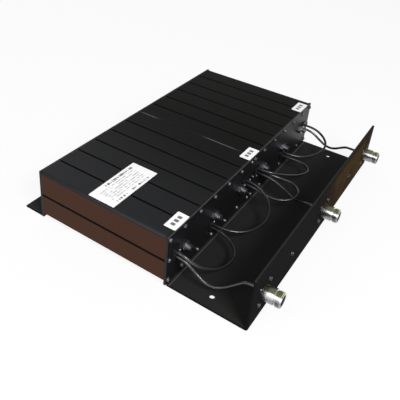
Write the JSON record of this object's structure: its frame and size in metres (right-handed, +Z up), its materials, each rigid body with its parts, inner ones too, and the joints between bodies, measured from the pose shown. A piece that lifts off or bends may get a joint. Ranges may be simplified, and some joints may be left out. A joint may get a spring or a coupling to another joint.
{
  "type": "cavity duplexer",
  "caption": "Flat cavity duplexer: a row of square tuned cavities with tuning rods and coupling loops, cabled to coaxial jacks on the raised front of a sheet bracket.",
  "frame": {"origin": "on the surface that the brackets stand on, below the face of the front plates, at the middle of the row of cavities", "axes": "+X along the row of cavities from the low port to the high port, +Y from the front plates to the rear plates, +Z up from the mounting surface"},
  "size_m": [0.3426, 0.2999, 0.0622],
  "materials": {
    "housing": "black anodised, satin",
    "plate": "black anodised, satin",
    "bracket": "black anodised, glossy",
    "screws": "black oxide",
    "rod": "threaded steel, darkened",
    "nut": "darkened",
    "resonator": "silver plated",
    "loop": "black plated",
    "jack": "nickel plated",
    "insulator": "white fluoropolymer",
    "contact": "gold plated",
    "boot": "matt",
    "cable": "satin jacket",
    "label": "printed film"
  },
  "bodies": {
    "duplexer": {"low_cavity_housing": "housing", "high_cavity_housing": "housing", "low_front_plate": "plate", "high_front_plate": "plate", "low_rear_plate": "plate", "high_rear_plate": "plate", "port_bracket": "bracket", "rear_foot": "bracket", "front_plate_screws": "screws", "rear_plate_screws": "screws", "bracket_screws": "screws", "wall_screws": "screws", "resonator_1": "resonator", "coupling_loop_1": "loop", "resonator_2": "resonator", "coupling_loop_2": "loop", "resonator_3": "resonator", "coupling_loop_3": "loop", "resonator_4": "resonator", "coupling_loop_4": "loop", "resonator_5": "resonator", "coupling_loop_5": "loop", "resonator_6": "resonator", "coupling_loop_6": "loop", "low_port_jack": "jack", "low_jack_insulator": "insulator", "low_jack_contact": "contact", "low_cable_boot": "boot", "antenna_port_jack": "jack", "antenna_jack_insulator": "insulator", "antenna_jack_contact": "contact", "antenna_cable_boot": "boot", "high_port_jack": "jack", "high_jack_insulator": "insulator", "high_jack_contact": "contact", "high_cable_boot": "boot", "low_port_cable": "cable", "antenna_port_cable": "cable", "high_port_cable": "cable", "link_cable_1": "cable", "link_cable_2": "cable", "link_cable_3": "cable", "link_cable_4": "cable", "link_cable_5": "cable", "port_labels": "label", "rating_label": "label"},
    "tuning_rod_1": {"tuning_rod_1": "rod"},
    "tuning_rod_2": {"tuning_rod_2": "rod"},
    "tuning_rod_3": {"tuning_rod_3": "rod"},
    "tuning_rod_4": {"tuning_rod_4": "rod"},
    "tuning_rod_5": {"tuning_rod_5": "rod"},
    "tuning_rod_6": {"tuning_rod_6": "rod"},
    "lock_nut_1": {"lock_nut_1": "nut"},
    "lock_nut_2": {"lock_nut_2": "nut"},
    "lock_nut_3": {"lock_nut_3": "nut"},
    "lock_nut_4": {"lock_nut_4": "nut"},
    "lock_nut_5": {"lock_nut_5": "nut"},
    "lock_nut_6": {"lock_nut_6": "nut"}
  },
  "joints": [
    {"name": "tuning_slide_1", "type": "slide", "parent": "duplexer", "child": "tuning_rod_1", "axis": [0, -1, 0], "range_m": [-0.004, 0.006]},
    {"name": "lock_nut_turn_1", "type": "hinge", "parent": "duplexer", "child": "lock_nut_1", "pos_m": [-0.14288, -0.0021, 0.034], "axis": [0, -1, 0], "continuous": true},
    {"name": "tuning_slide_2", "type": "slide", "parent": "duplexer", "child": "tuning_rod_2", "axis": [0, -1, 0], "range_m": [-0.004, 0.006]},
    {"name": "lock_nut_turn_2", "type": "hinge", "parent": "duplexer", "child": "lock_nut_2", "pos_m": [-0.08572, -0.0021, 0.034], "axis": [0, -1, 0], "continuous": true},
    {"name": "tuning_slide_3", "type": "slide", "parent": "duplexer", "child": "tuning_rod_3", "axis": [0, -1, 0], "range_m": [-0.004, 0.006]},
    {"name": "lock_nut_turn_3", "type": "hinge", "parent": "duplexer", "child": "lock_nut_3", "pos_m": [-0.02857, -0.0021, 0.034], "axis": [0, -1, 0], "continuous": true},
    {"name": "tuning_slide_4", "type": "slide", "parent": "duplexer", "child": "tuning_rod_4", "axis": [0, -1, 0], "range_m": [-0.004, 0.006]},
    {"name": "lock_nut_turn_4", "type": "hinge", "parent": "duplexer", "child": "lock_nut_4", "pos_m": [0.02857, -0.0021, 0.034], "axis": [0, -1, 0], "continuous": true},
    {"name": "tuning_slide_5", "type": "slide", "parent": "duplexer", "child": "tuning_rod_5", "axis": [0, -1, 0], "range_m": [-0.004, 0.006]},
    {"name": "lock_nut_turn_5", "type": "hinge", "parent": "duplexer", "child": "lock_nut_5", "pos_m": [0.08572, -0.0021, 0.034], "axis": [0, -1, 0], "continuous": true},
    {"name": "tuning_slide_6", "type": "slide", "parent": "duplexer", "child": "tuning_rod_6", "axis": [0, -1, 0], "range_m": [-0.004, 0.006]},
    {"name": "lock_nut_turn_6", "type": "hinge", "parent": "duplexer", "child": "lock_nut_6", "pos_m": [0.14288, -0.0021, 0.034], "axis": [0, -1, 0], "continuous": true}
  ]
}
